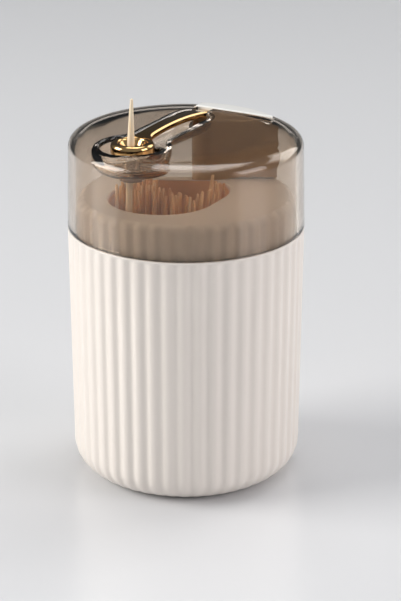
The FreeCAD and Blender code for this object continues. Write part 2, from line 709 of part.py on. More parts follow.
def grip_ring():
    # A soft ring inside the tube's foot, with its hole on the served pick's line.
    ring = cylinder("grip_disc", "nozzle_throat", "grip_height", NOZZLE_X, NOZZLE_Y, TUBE_FOOT)
    tip, direction = served_axis()
    hole = doc.addObject("Part::Cylinder", "grip_hole")
    bind(hole, "Radius", "pick_radius + grip_clearance")
    bind(hole, "Height", "pick_length")
    hole.Placement = FreeCAD.Placement(tip - direction * number("pick_length"), FreeCAD.Rotation(UP, direction))
    return cut("grip_ring", ring, hole)


# --- button and its housing ---------------------------------------------------------------

def thumb_button(pocket, screw):
    body = raised("cap_block", button_outline("0"), CAP_FOOT, CAP_TOP, "lever_azimuth")
    fillet(body, "cap_corners", "button_corner", is_upright)
    fillet(body, "cap_edge", "button_edge", lambda edge: lies_at(edge, number(CAP_TOP)))
    return cut("thumb_button", body, pocket, screw)


def arm_pocket(name):
    half = "(arm_width / 2)"
    return raised(name, [
        (BUTTON_FRONT + " - 1", "lever_offset - " + half),
        (TAIL_REACH, "lever_offset - " + half),
        (TAIL_REACH, "lever_offset + " + half),
        (BUTTON_FRONT + " - 1", "lever_offset + " + half),
    ], TAIL_FOOT, ARM_END, "lever_azimuth")


def plunger_core(pocket, screw):
    inset = "(-core_inset)"
    block = raised("core_block", button_outline(inset, "core_right"), CORE_FOOT,
                   CAP_FOOT, "lever_azimuth")
    x, y = under_button("spring_set", "spring_side")
    well = cylinder("core_spring_pocket", "spring_radius + spring_wire + spring_gap", "spring_pocket + 1",
                    x, y, CORE_FOOT + " - 1")
    x, y = under_button("arm_screw_set", "lever_offset")
    shoulder = "%s - arm_screw_cover - arm_screw_length" % ARM_END
    access = cylinder("core_screw_access", "head_radius + fit_gap", "%s - (%s - 1)" % (shoulder, CORE_FOOT),
                      x, y, CORE_FOOT + " - 1")
    return cut("plunger_core", block, pocket, well, access, screw)


def box_outline(inset):
    left, right = "(box_left + %s)" % inset, "(%s - %s)" % (BOX_RIGHT, inset)
    front, reach = "(%s + %s)" % (BOX_FRONT, inset), "(%s - %s)" % (BOX_RADIUS, inset)
    corner = "(box_corner - %s)" % inset
    return [
        (left + " + " + corner, front),
        (right, front),
        (right, "sqrt(%s ^ 2 - %s ^ 2)" % (reach, right), reach),
        (left, "sqrt(%s ^ 2 - %s ^ 2)" % (reach, left)),
        (left, front + " + " + corner, corner),
    ]


def button_box(outer_recess, screws):
    block = raised("box_block", box_outline("0"), BOX_FOOT, LID_UNDER)
    cap_well = raised("box_cap_well", button_outline("button_gap"), CAP_FOOT + " - stroke - fit_gap",
                      LID_UNDER + " + 1", "lever_azimuth")
    core_well = raised("box_core_well", button_outline("(button_gap - core_inset)", "core_right"), BOX_FOOT,
                       LID_UNDER + " + 1", "lever_azimuth")
    cover_seat = raised("box_cover_seat", box_outline("(cover_inset - fit_gap)"), BOX_FOOT + " - 1",
                        BOX_FOOT + " + cover_thickness")
    return cut("button_box", block, cap_well, core_well, cover_seat, outer_recess,
               arm_slot("box_arm_slot"), screws)


def box_cover(screws):
    plate = raised("cover_plate", box_outline("cover_inset"), BOX_FOOT, BOX_FOOT + " + cover_thickness")
    return cut("box_cover", plate, screws)


# --- screws and spring --------------------------------------------------------------------

def screw(name, x, y, z, length):
    head = cylinder(name + "_head", "head_radius", "head_height", x, y, z)
    shank = cylinder(name + "_shank", "screw_radius", "head_height + " + length, x, y, z)
    return fuse(name, head, shank)


def box_screws():
    # Both stand in the solid wedge between the housing's front and the button's well.
    screws = [
        screw("screw_left", "box_left + box_screw_left", BOX_FRONT + " + box_screw_front", BOX_FOOT,
              "box_screw_length"),
        screw("screw_right", "box_left + box_screw_right", BOX_FRONT + " + box_screw_front", BOX_FOOT,
              "box_screw_length"),
    ]
    thing = doc.addObject("Part::Compound", "box_screws")
    thing.Links = screws
    return thing


def under_button(along, across):
    # A place in the jar's frame, from the button's front edge and the arm's own direction.
    reach = "(%s + %s)" % (BUTTON_FRONT, along)
    return ("%s * cos(lever_azimuth) - %s * sin(lever_azimuth)" % (reach, across),
            "%s * sin(lever_azimuth) + %s * cos(lever_azimuth)" % (reach, across))


def arm_screw():
    x, y = under_button("arm_screw_set", "lever_offset")
    foot = "%s - arm_screw_cover - arm_screw_length - head_height" % ARM_END
    return screw("arm_screw", x, y, foot, "arm_screw_length")


def return_spring():
    helix = doc.addObject("Part::Helix", "spring_helix")
    height = "(%s + spring_pocket - %s - cover_thickness - 2 * spring_wire)" % (CORE_FOOT, BOX_FOOT)
    bind(helix, "Radius", "spring_radius")
    bind(helix, "Height", height)
    bind(helix, "Pitch", height + " / spring_turns")
    section = doc.addObject("Part::RegularPolygon", "spring_section")
    section.Polygon = 6
    bind(section, "Circumradius", "spring_wire")
    section.Placement = FreeCAD.Placement(V(), FreeCAD.Rotation(V(1, 0, 0), 90))
    bind(section, "Placement.Base.x", "spring_radius")
    sweep = doc.addObject("Part::Sweep", "return_spring")
    sweep.Sections = [section]
    sweep.Spine = (helix, ["Edge1"])
    sweep.Solid = True
    sweep.Frenet = True
    x, y = under_button("spring_set", "spring_side")
    return place(sweep, x, y, BOX_FOOT + " + cover_thickness + spring_wire")


# --- the whole ----------------------------------------------------------------------------

outer_recess = recess("recess_outer", "recess_wall")
inner_recess = recess("recess_inner", "0")
fastener = arm_screw()
housing_screws = box_screws()
pocket = arm_pocket("tail_pocket")
nodes = [
    jar_shell(),
    foot_pad(),
    liner(),
    toothpick_bunch(),
    served_toothpick(),
    lid_cover(outer_recess, inner_recess),
    guide_bush(),
    button_box(outer_recess, housing_screws),
    box_cover(housing_screws),
    housing_screws,
    thumb_button(pocket, fastener),
    plunger_core(pocket, fastener),
    fastener,
    lever_arm(fastener),
    nozzle_cup(),
    nozzle_tube(),
    grip_ring(),
    return_spring(),
]
doc.recompute()

for thing in doc.Objects:
    if "Invalid" in thing.State or "Error" in thing.State:
        raise RuntimeError("%s failed: %s" % (thing.Name, thing.State))
for node in nodes:
    if node.Shape.isNull() or not node.Shape.isValid():
        raise RuntimeError("%s has no valid shape" % node.Name)

os.makedirs("parts", exist_ok=True)
for node in nodes:
    node.Label = node.Name
    node.Shape.exportStep("parts/%s.step" % node.Label)
    box = node.Shape.BoundBox
    print("%-18s solids %3d  volume %9.1f  z %6.2f..%6.2f" % (
        node.Label, len(node.Shape.Solids), node.Shape.Volume, box.ZMin, box.ZMax))
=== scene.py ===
import math
import random
import bmesh
import bpy
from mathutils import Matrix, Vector


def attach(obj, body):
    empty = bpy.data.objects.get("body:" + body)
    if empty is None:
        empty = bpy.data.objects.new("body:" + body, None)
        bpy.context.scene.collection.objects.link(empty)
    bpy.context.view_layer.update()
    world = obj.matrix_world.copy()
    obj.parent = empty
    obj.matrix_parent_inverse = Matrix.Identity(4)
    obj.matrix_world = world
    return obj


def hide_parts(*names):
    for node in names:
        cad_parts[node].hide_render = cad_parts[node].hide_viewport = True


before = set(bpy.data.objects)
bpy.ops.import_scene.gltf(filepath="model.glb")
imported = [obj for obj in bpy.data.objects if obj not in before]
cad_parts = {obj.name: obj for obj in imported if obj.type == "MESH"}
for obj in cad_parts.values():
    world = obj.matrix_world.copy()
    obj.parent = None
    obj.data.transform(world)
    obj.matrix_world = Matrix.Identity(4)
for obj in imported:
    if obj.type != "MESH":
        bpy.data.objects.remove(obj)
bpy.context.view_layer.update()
print("frame loaded, nodes:", len(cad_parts))


def extent(node):
    # Where a CAD node begins and ends, in millimetres.
    sides = {}
    for axis, (low, high) in enumerate((("left", "right"), ("front", "back"), ("foot", "top"))):
        reach = [1000 * vertex.co[axis] for vertex in node.data.vertices]
        sides[low], sides[high] = round(min(reach), 3), round(max(reach), 3)
    return sides


# Pieces are shaped in millimetres and brought to metres at the end of each one.
extents = {name: extent(node) for name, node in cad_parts.items()}
jarRadius, jarRim = extents["jar_shell"]["right"], extents["jar_shell"]["top"]
deckTop, lidTop = extents["pick_liner"]["top"], extents["lid_cover"]["top"]

# The lever frame is the jar's frame turned about Z: its X runs from the nozzle to the button.
lever = {"azimuth": math.radians(61.3), "offset": 6.2, "nozzleX": 14.6 - jarRadius}


def leverPoint(x, y, z=0.0):
    turnCos, turnSin = math.cos(lever["azimuth"]), math.sin(lever["azimuth"])
    return Vector((x * turnCos - y * turnSin, x * turnSin + y * turnCos, z))


nozzle = leverPoint(lever["nozzleX"], lever["offset"])


def eased(value, start, end):
    # Rises from 0 at the start to 1 at the end without a kink.
    share = min(1.0, max(0.0, (value - start) / (end - start)))
    return share * share * (3 - 2 * share)


def arc(centre, radius, start, end, steps):
    angles = [start + (end - start) * step / steps for step in range(steps + 1)]
    return [(centre[0] + radius * math.cos(angle), centre[1] + radius * math.sin(angle)) for angle in angles]


def clearSelection():
    if bpy.context.object and bpy.context.object.mode != "OBJECT":
        bpy.ops.object.mode_set(mode="OBJECT")
    bpy.ops.object.select_all(action="DESELECT")


def choose(piece):
    clearSelection()
    piece.select_set(True)
    bpy.context.view_layer.objects.active = piece


def called(name):
    piece = bpy.context.object
    piece.name = name
    piece.data.name = name
    return piece


def applyModifiers(piece):
    choose(piece)
    for modifier in list(piece.modifiers):
        bpy.ops.object.modifier_apply(modifier=modifier.name)


def applyPlace(piece):
    choose(piece)
    bpy.ops.object.transform_apply(location=True, rotation=True, scale=True)


def combine(piece, other, operation):
    modifier = piece.modifiers.new(operation.lower(), "BOOLEAN")
    modifier.operation = operation
    modifier.object = other
    modifier.solver = "EXACT"
    applyModifiers(piece)
    bpy.data.objects.remove(other, do_unlink=True)


def tidyMesh(piece, gap=0.0005):
    choose(piece)
    bpy.ops.object.mode_set(mode="EDIT")
    bpy.ops.mesh.select_all(action="SELECT")
    bpy.ops.mesh.remove_doubles(threshold=gap)
    bpy.ops.mesh.normals_make_consistent(inside=False)
    bpy.ops.object.mode_set(mode="OBJECT")


def complete(piece, body, material, replaced, smoothAngle=32.0, weighted=False):
    piece.scale = (0.001, 0.001, 0.001)
    applyPlace(piece)
    bpy.ops.object.shade_smooth_by_angle(angle=math.radians(smoothAngle))
    if weighted:
        normals = piece.modifiers.new("normals", "WEIGHTED_NORMAL")
        normals.keep_sharp = True
        normals.weight = 60
        applyModifiers(piece)
    piece.data.materials.clear()
    piece.data.materials.append(material)
    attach(piece, body)
    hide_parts(replaced)
    print("made", piece.name, len(piece.data.polygons))


def roundedPath(corners, turnStep=9.0):
    # Corners are (across, up) or (across, up, radius); the radius rounds that corner.
    path = []
    for index, corner in enumerate(corners):
        here = Vector(corner[:2])
        if len(corner) == 2:
            path.append(here)
            continue
        back = (Vector(corners[index - 1][:2]) - here).normalized()
        ahead = (Vector(corners[(index + 1) % len(corners)][:2]) - here).normalized()
        opening = back.angle(ahead)
        centre = here + (back + ahead).normalized() * corner[2] / math.sin(opening / 2)
        start = here + back * corner[2] / math.tan(opening / 2) - centre
        turn = math.pi - opening
        steps = max(2, math.ceil(math.degrees(turn) / turnStep))
        side = 1 if back.cross(ahead) < 0 else -1
        for step in range(steps + 1):
            angle = side * turn * step / steps
            path.append(centre + Vector((
                start.x * math.cos(angle) - start.y * math.sin(angle),
                start.x * math.sin(angle) + start.y * math.cos(angle))))
    return path


def spun(name, path, steps, centre=(0.0, 0.0)):
    # The outline is drawn as a chain of vertices and spun about an upright axis.
    clearSelection()
    bpy.ops.mesh.primitive_plane_add(size=1)
    piece = called(name)
    bpy.ops.object.mode_set(mode="EDIT")
    bpy.ops.mesh.merge(type="CENTER")
    here = Vector((centre[0] + path[0][0], centre[1], path[0][1]))
    bpy.ops.transform.translate(value=here)
    for point in path[1:]:
        there = Vector((centre[0] + point[0], centre[1], point[1]))
        bpy.ops.mesh.extrude_vertices_move(TRANSFORM_OT_translate={"value": there - here})
        here = there
    bpy.ops.mesh.select_all(action="SELECT")
    bpy.ops.mesh.spin(steps=steps, angle=2 * math.pi, center=(centre[0], centre[1], 0), axis=(0, 0, 1))
    bpy.ops.object.mode_set(mode="OBJECT")
    tidyMesh(piece)
    return piece


def stacked(name, rings, capFirst=True, capLast=True):
    # One ring of vertices is extruded from place to place; every ring has as many points.
    clearSelection()
    bpy.ops.mesh.primitive_circle_add(vertices=len(rings[0]), radius=1)
    piece = called(name)
    bpy.ops.object.mode_set(mode="EDIT")
    mesh = bmesh.from_edit_mesh(piece.data)
    spot = mesh.verts.layers.int.new("spot")
    for index, vertex in enumerate(mesh.verts):
        vertex[spot] = index
        vertex.co = rings[0][index]
    bmesh.update_edit_mesh(piece.data)
    for ring in rings[1:]:
        bpy.ops.mesh.extrude_edges_move()
        mesh = bmesh.from_edit_mesh(piece.data)
        spot = mesh.verts.layers.int.get("spot")
        for vertex in mesh.verts:
            if vertex.select:
                vertex.co = ring[vertex[spot]]
        bmesh.update_edit_mesh(piece.data)
    if capLast:
        bpy.ops.mesh.edge_face_add()
    bpy.ops.object.mode_set(mode="OBJECT")
    if capFirst:
        for part in (piece.data.polygons, piece.data.edges):
            part.foreach_set("select", [False] * len(part))
        for index, vertex in enumerate(piece.data.vertices):
            vertex.select = index < len(rings[0])
        bpy.ops.object.mode_set(mode="EDIT")
        bpy.ops.mesh.edge_face_add()
        bpy.ops.object.mode_set(mode="OBJECT")
    piece.data.attributes.remove(piece.data.attributes["spot"])
    tidyMesh(piece)
    return piece


def prism(name, outline, low, high):
    # The outline is in the lever frame.
    return stacked(name, [[leverPoint(*point, height) for point in outline] for height in (low, high)])


def upright(name, place, radius, foot, top, sides=64):
    clearSelection()
    bpy.ops.mesh.primitive_cylinder_add(
        vertices=sides, radius=radius, depth=top - foot, location=(place[0], place[1], (foot + top) / 2))
    return called(name)


def addNode(tree, kind, values=None, **settings):
    # The settings come first, because they decide which sockets a node has.
    node = tree.nodes.new("ShaderNode" + kind)
    for name, value in settings.items():
        setattr(node, name, value)
    for socket, value in (values or {}).items():
        node.inputs[socket].default_value = value
    return node


def mottleGroup():
    # Slow and fine noise as two masks, for the uneven finish of moulded parts.
    group = bpy.data.node_groups.new("surfaceMottle", "ShaderNodeTree")
    for way, kind in (("INPUT", "Scale"), ("OUTPUT", "Mask")):
        for label in ("Slow", "Fine"):
            group.interface.new_socket(label + " " + kind, in_out=way, socket_type="NodeSocketFloat")
    start = group.nodes.new("NodeGroupInput")
    end = group.nodes.new("NodeGroupOutput")
    place = group.nodes.new("ShaderNodeTexCoord")
    for label in ("Slow", "Fine"):
        noise = addNode(group, "TexNoise", {"Detail": 3})
        group.links.new(place.outputs["Object"], noise.inputs["Vector"])
        group.links.new(start.outputs[label + " Scale"], noise.inputs["Scale"])
        group.links.new(noise.outputs["Fac"], end.inputs[label + " Mask"])
    return group


surfaceMottle = mottleGroup()


def newMaterial(name):
    material = bpy.data.materials.new(name)
    material.use_nodes = True
    return material, material.node_tree, material.node_tree.nodes["Principled BSDF"]


def addShine(tree, shader, mask, roughness):
    shine = addNode(tree, "MapRange", {"To Min": roughness[0], "To Max": roughness[1]})
    tree.links.new(mask, shine.inputs["Value"])
    tree.links.new(shine.outputs["Result"], shader.inputs["Roughness"])


def addBump(tree, shader, mask, strength):
    bump = addNode(tree, "Bump", {"Strength": strength, "Distance": 0.0001})
    tree.links.new(mask, bump.inputs["Height"])
    tree.links.new(bump.outputs["Normal"], shader.inputs["Normal"])


def addMottle(tree, settings):
    scales = {"Slow Scale": settings["slowScale"], "Fine Scale": settings["fineScale"]}
    return addNode(tree, "Group", scales, node_tree=surfaceMottle)


def mottledMaterial(name, settings, finish):
    # The slow mask mixes two tones, and the fine mask varies the shine and the surface.
    material, tree, shader = newMaterial(name)
    mottle = addMottle(tree, settings)
    tones = {"A": (*settings["colour"], 1), "B": (*settings["otherColour"], 1)}
    tint = addNode(tree, "Mix", tones, data_type="RGBA")
    tree.links.new(mottle.outputs["Slow Mask"], tint.inputs["Factor"])
    tree.links.new(tint.outputs["Result"], shader.inputs["Base Color"])
    addShine(tree, shader, mottle.outputs["Fine Mask"], settings["roughness"])
    if "bump" in settings:
        addBump(tree, shader, mottle.outputs["Fine Mask"], settings["bump"])
    for socket, value in finish.items():
        shader.inputs[socket].default_value = value
    return material


def mottledPlastic(name, settings):
    return mottledMaterial(name, settings, {
        "IOR": 1.5, "Coat Weight": settings["coat"], "Coat Roughness": 0.12})


def polishedMetal(name, settings):
    return mottledMaterial(name, settings, {"Metallic": 1.0})


creamPlastic = mottledPlastic("creamPlastic", {
    "colour": (0.86, 0.80, 0.74), "otherColour": (0.83, 0.765, 0.705), "slowScale": 30, "fineScale": 900,
    "roughness": (0.28, 0.38), "bump": 0.05, "coat": 0.25})
linerPlastic = mottledPlastic("linerPlastic", {
    "colour": (0.84, 0.765, 0.68), "otherColour": (0.80, 0.72, 0.635), "slowScale": 30, "fineScale": 900,
    "roughness": (0.34, 0.44), "bump": 0.05, "coat": 0.1})
whiteGloss = mottledPlastic("whiteGloss", {
    "colour": (0.90, 0.90, 0.88), "otherColour": (0.87, 0.87, 0.85), "slowScale": 60, "fineScale": 1200,
    "roughness": (0.12, 0.2), "bump": 0.03, "coat": 0.5})
# The housing is white plastic. This dark warm brown is painted shade, warmed by a painted reflection of the
# picks. The box cover, plunger core and guide bush take it too.
housingPaintedShade = mottledPlastic("housingPaintedShade", {
    "colour": (0.54, 0.38, 0.235), "otherColour": (0.50, 0.35, 0.21), "slowScale": 60, "fineScale": 1200,
    "roughness": (0.35, 0.45), "bump": 0.04, "coat": 0.1})
softRubber = mottledPlastic("softRubber", {
    "colour": (0.12, 0.115, 0.11), "otherColour": (0.09, 0.085, 0.08), "slowScale": 80, "fineScale": 1500,
    "roughness": (0.55, 0.7), "bump": 0.15, "coat": 0.0})
goldPlate = polishedMetal("goldPlate", {
    "colour": (0.66, 0.43, 0.20), "otherColour": (0.60, 0.385, 0.17), "slowScale": 70, "fineScale": 1500,
    "roughness": (0.05, 0.12)})
springSteel = polishedMetal("springSteel", {
    "colour": (0.62, 0.62, 0.63), "otherColour": (0.54, 0.54, 0.55), "slowScale": 90, "fineScale": 1800,
    "roughness": (0.22, 0.34)})


def paintedPickBounce(material, settings):
    # Below the deck and near the axis the wall is tinted orange, as painted bounce light from the picks
    # beside it.
    tree = material.node_tree
    shader = tree.nodes["Principled BSDF"]
    outer = shader.inputs["Base Color"].links[0].from_socket
    place = addNode(tree, "TexCoord")
    parts = addNode(tree, "SeparateXYZ")
    deck, blend = settings["deck"], settings["blend"]
    fade = {"From Min": deck - blend, "From Max": deck, "To Min": 1.0, "To Max": 0.0}
    depth = addNode(tree, "MapRange", fade)
    flat = addNode(tree, "VectorMath", {1: (1, 1, 0)}, operation="MULTIPLY")
    reach = addNode(tree, "VectorMath", operation="LENGTH")
    near = addNode(tree, "Math", {1: settings["reach"]}, operation="LESS_THAN")
    both = addNode(tree, "Math", operation="MULTIPLY")
    tint = addNode(tree, "Mix", {"B": (*settings["colour"], 1)}, data_type="RGBA")
    tree.links.new(place.outputs["Object"], parts.inputs["Vector"])
    tree.links.new(place.outputs["Object"], flat.inputs[0])
    tree.links.new(flat.outputs["Vector"], reach.inputs[0])
    tree.links.new(reach.outputs["Value"], near.inputs[0])
    tree.links.new(parts.outputs["Z"], depth.inputs["Value"])
    tree.links.new(depth.outputs["Result"], both.inputs[0])
    tree.links.new(near.outputs["Value"], both.inputs[1])
    tree.links.new(both.outputs["Value"], tint.inputs["Factor"])
    tree.links.new(outer, tint.inputs["A"])
    tree.links.new(tint.outputs["Result"], shader.inputs["Base Color"])


# Painted bounce light: the liner's inside beside the picks is tinted orange.
paintedPickBounce(linerPlastic, {"deck": 0.0826, "blend": 0.0012, "reach": 0.0275, "colour": (0.94, 0.54, 0.27)})


def smokePlastic(settings):
    material, tree, shader = newMaterial("smokePlastic")
    mottle = addMottle(tree, settings)
    addShine(tree, shader, mottle.outputs["Slow Mask"], settings["roughness"])
    shader.inputs["Base Color"].default_value = (*settings["colour"], 1)
    shader.inputs["Transmission Weight"].default_value = 1.0
    shader.inputs["IOR"].default_value = 1.49
    return material


smokeClear = smokePlastic({
    "colour": (0.80, 0.71, 0.62), "slowScale": 40, "fineScale": 800, "roughness": (0.01, 0.035)})


def pickWood(settings):
    # Long grain along each pick, with a tone of its own for every pick.
    material, tree, shader = newMaterial("pickWood")
    place = addNode(tree, "TexCoord")
    stretch = addNode(tree, "Mapping", {"Scale": settings["grain"]})
    grain = addNode(tree, "TexNoise", {"Scale": 1.0, "Detail": 4})
    tone = addNode(tree, "Attribute", attribute_name="pickTone")
    part = addNode(tree, "Math", {1: settings["toneShare"]}, operation="MULTIPLY")
    blend = addNode(tree, "Math", operation="ADD")
    ramp = addNode(tree, "ValToRGB")
    stops = ramp.color_ramp.elements
    stops.new(0.5)
    for stop, (position, colour) in zip(stops, settings["tones"]):
        stop.position = position
        stop.color = (*colour, 1)
    tree.links.new(place.outputs["Object"], stretch.inputs["Vector"])
    tree.links.new(stretch.outputs["Vector"], grain.inputs["Vector"])
    tree.links.new(tone.outputs["Fac"], part.inputs[0])
    tree.links.new(grain.outputs["Fac"], blend.inputs[0])
    tree.links.new(part.outputs["Value"], blend.inputs[1])
    tree.links.new(blend.outputs["Value"], ramp.inputs["Fac"])
    tree.links.new(ramp.outputs["Color"], shader.inputs["Base Color"])
    addBump(tree, shader, grain.outputs["Fac"], settings["bump"])
    shader.inputs["Roughness"].default_value = 0.6
    return material


birchWood = pickWood({
    "grain": (2600, 2600, 90), "toneShare": 0.35, "bump": 0.35,
    "tones": ((0.2, (0.80, 0.41, 0.16)), (0.65, (0.95, 0.63, 0.33)), (1.0, (0.95, 0.81, 0.60))),
})
print("materials ready")

# The fluted jar and its liner.
flutes = {"count": 48, "turn": math.radians(2.8), "perFlute": 12, "sharpness": 1.25}


def fluteWave(angle):
    wave = 0.5 + 0.5 * math.cos(flutes["count"] * (angle - flutes["turn"]))
    return wave ** flutes["sharpness"]


def flutedRing(radius, height, depth=0.0, inward=(1.0, 0.0)):
    # inward is the direction that a flute sinks in, across and up.
    ring = []
    count = flutes["count"] * flutes["perFlute"]
    for index in range(count):
        angle = 2 * math.pi * index / count
        sink = depth * fluteWave(angle)
        reach = radius - sink * inward[0]
        ring.append(Vector((reach * math.cos(angle), reach * math.sin(angle), height + sink * inward[1])))
    return ring


def makeJarBody():
    jar = {
        "footRadius": jarRadius - 0.75, "footLift": extents["jar_shell"]["foot"],
        "baseRound": 8.6, "baseSteps": 12,
        "boreRadius": 31.3, "boreRound": 0.2, "ledge": jarRim - 7.5, "ledgeRadius": 29.6,
        "innerFoot": 28.95, "floor": 4.0, "floorRound": 6.0,
        "padSeat": extents["foot_pad"]["right"] + 0.1, "padTop": extents["foot_pad"]["top"], "hub": 1.0,
        "fluteDepth": 0.48, "rimRound": 0.3, "fade": (1.1, 0.35), "fadeEnd": 0.3,
    }
    centreR, centreZ = jar["footRadius"] - jar["baseRound"], jar["footLift"] + jar["baseRound"]
    rings = [flutedRing(jar["hub"], jar["padTop"]), flutedRing(jar["padSeat"], jar["padTop"])]
    rings.append(flutedRing(jar["padSeat"], jar["footLift"]))
    for step in range(jar["baseSteps"] + 1):
        angle = math.radians(90 - 90 * step / jar["baseSteps"])
        fade = max(0.0, (math.cos(angle) - jar["fadeEnd"]) / (1 - jar["fadeEnd"]))
        rings.append(flutedRing(
            centreR + jar["baseRound"] * math.cos(angle), centreZ - jar["baseRound"] * math.sin(angle),
            jar["fluteDepth"] * fade, (math.cos(angle), math.sin(angle))))
    for share in (0.25, 0.5, 0.75):
        reach = jar["footRadius"] + (jarRadius - jar["footRadius"]) * share
        rings.append(flutedRing(reach, centreZ + (jarRim - centreZ) * share, jar["fluteDepth"]))
    fadeStart, fadeStop = jar["fade"]
    rings.append(flutedRing(jarRadius, jarRim - fadeStart, jar["fluteDepth"]))
    rings.append(flutedRing(jarRadius, jarRim - (fadeStart + fadeStop) / 2, jar["fluteDepth"] * 0.5))
    rings.append(flutedRing(jarRadius, jarRim - fadeStop))
    inside = roundedPath([
        (jarRadius, jarRim - fadeStop * 0.9),
        (jarRadius, jarRim, jar["rimRound"]),
        (jar["boreRadius"], jarRim, jar["boreRound"]),
        (jar["boreRadius"], jar["ledge"]),
        (jar["ledgeRadius"], jar["ledge"]),
        (jar["innerFoot"], jar["floor"], jar["floorRound"]),
        (jar["hub"], jar["floor"]),
    ], turnStep=30)
    rings += [flutedRing(point.x, point.y) for point in inside[1:]]
    complete(stacked("jarBody", rings), "jar", creamPlastic, "jar_shell", smoothAngle=40)


# The pick cup is an oval along the arm, in the lever frame.
cup = {"near": -7.55, "far": 1.15, "across": 3.55, "half": 14.9, "wall": 1.5, "arcSteps": 36}
cup["floor"] = extents["pick_liner"]["foot"] + cup["wall"]


def ovalRing(offset, height):
    ring = []
    for endX, start in ((cup["far"], -90), (cup["near"], 90)):
        ring += arc((endX, cup["across"]), cup["half"] + offset,
                    math.radians(start), math.radians(start + 180), cup["arcSteps"])
    return [leverPoint(x, y, height) for x, y in ring]


def makePickLiner():
    liner = {
        "radius": extents["pick_liner"]["right"], "foot": jarRim - 7.5, "wall": 1.9, "hub": 1.0,
        "edgeRound": 2.4, "edgeSteps": 8, "fluteDepth": 0.72, "fluteFade": 0.7,
        "cupRound": 1.2, "cupSteps": 4, "mouthRound": 0.6, "mouthTurn": 84, "mouthSteps": 7,
        "cupJoin": deckTop - 1.0, "cutTop": deckTop + 3.0,
    }
    under = deckTop - liner["wall"]
    inner = liner["radius"] - liner["wall"]
    edgeZ = deckTop - liner["edgeRound"]
    rings = [flutedRing(inner, liner["foot"])]
    for height in (liner["foot"], (liner["foot"] + edgeZ) / 2):
        rings.append(flutedRing(liner["radius"], height, liner["fluteDepth"]))
    for step in range(liner["edgeSteps"] + 1):
        angle = math.radians(90 * step / liner["edgeSteps"])
        fade = max(0.0, math.cos(angle)) ** liner["fluteFade"]
        rings.append(flutedRing(
            liner["radius"] - liner["edgeRound"] * (1 - math.cos(angle)),
            edgeZ + liner["edgeRound"] * math.sin(angle),
            liner["fluteDepth"] * fade, (math.cos(angle), -math.sin(angle))))
    rings += [flutedRing(liner["hub"], deckTop), flutedRing(liner["hub"], under)]
    rings += [flutedRing(inner, under), rings[0]]
    piece = stacked("pickLiner", rings, capFirst=False, capLast=False)
    outside = [ovalRing(cup["wall"], height) for height in (cup["floor"] - cup["wall"], liner["cupJoin"])]
    combine(piece, stacked("cupOuter", outside), "UNION")
    inside = []
    bottom, mouth = liner["cupRound"], liner["mouthRound"]
    for step in range(liner["cupSteps"] + 1):
        angle = math.radians(90 * step / liner["cupSteps"])
        height = cup["floor"] + bottom * (1 - math.cos(angle))
        inside.append(ovalRing(-bottom * (1 - math.sin(angle)), height))
    for step in range(liner["mouthSteps"] + 1):
        angle = math.radians(liner["mouthTurn"] * step / liner["mouthSteps"])
        inside.append(ovalRing(mouth * (1 - math.cos(angle)), deckTop - mouth + mouth * math.sin(angle)))
    inside.append(ovalRing(mouth * 0.9, liner["cutTop"]))
    combine(piece, stacked("cupInner", inside), "DIFFERENCE")
    complete(piece, "jar", linerPlastic, "pick_liner", weighted=True)


makeJarBody()
makePickLiner()

# The clear lid with its spoon-shaped recess: a bowl round the nozzle and a trough under the arm.
spoon = {
    "bowl": 9.2, "half": 5.3, "blend": 9.0, "endX": 19.4, "bowlFloor": 94.7, "troughFloor": 96.7,
    "slope": math.tan(math.radians(2.8)), "step": (7.0, 12.0), "footRound": 3.0, "footSteps": 8,
    "lip": 0.8, "lipTurn": 80, "lipSteps": 6, "wall": 1.6,
}


def spoonOutline():
    # Arcs as (centre, radius, start angle, turn, side, steps): side is +1 where the arc bulges outwards.
    blend, half, bowl = spoon["blend"], spoon["half"], spoon["bowl"]
    middle = Vector((lever["nozzleX"], lever["offset"]))
    along = math.sqrt((bowl + blend) ** 2 - (half + blend) ** 2)
    swing = math.atan2(half + blend, along)
    end = Vector((spoon["endX"] - half, lever["offset"]))
    upper = middle + Vector((along, half + blend))
    lower = middle + Vector((along, -(half + blend)))
    return [
        (middle, bowl, swing, 2 * math.pi - 2 * swing, 1, 96),
        (lower, blend, math.pi - swing, swing - math.pi / 2, -1, 10),
        (end, half, -math.pi / 2, math.pi, 1, 40),
        (upper, blend, -math.pi / 2, -(math.pi / 2 - swing), -1, 10),
    ]


def spoonRing(offset, heightAt):
    # The straight sides between the arcs are divided, so that the floor can follow its slope.
    arcs = []
    for centre, radius, start, turn, side, steps in spoonOutline():
        reach = radius + side * offset
        angles = [start + turn * step / steps for step in range(steps + 1)]
        arcs.append([centre + Vector((reach * math.cos(angle), reach * math.sin(angle))) for angle in angles])
    ring = []
    for number, points in enumerate(arcs):
        ring += points
        if number in (1, 2):
            ring += [points[-1].lerp(arcs[number + 1][0], share / 12) for share in range(1, 12)]
    return [(point, heightAt(point.x)) for point in ring]


def spoonFloor(x):
    share = eased(x - lever["nozzleX"], *spoon["step"])
    return spoon["bowlFloor"] * (1 - share) + (spoon["troughFloor"] - spoon["slope"] * x) * share


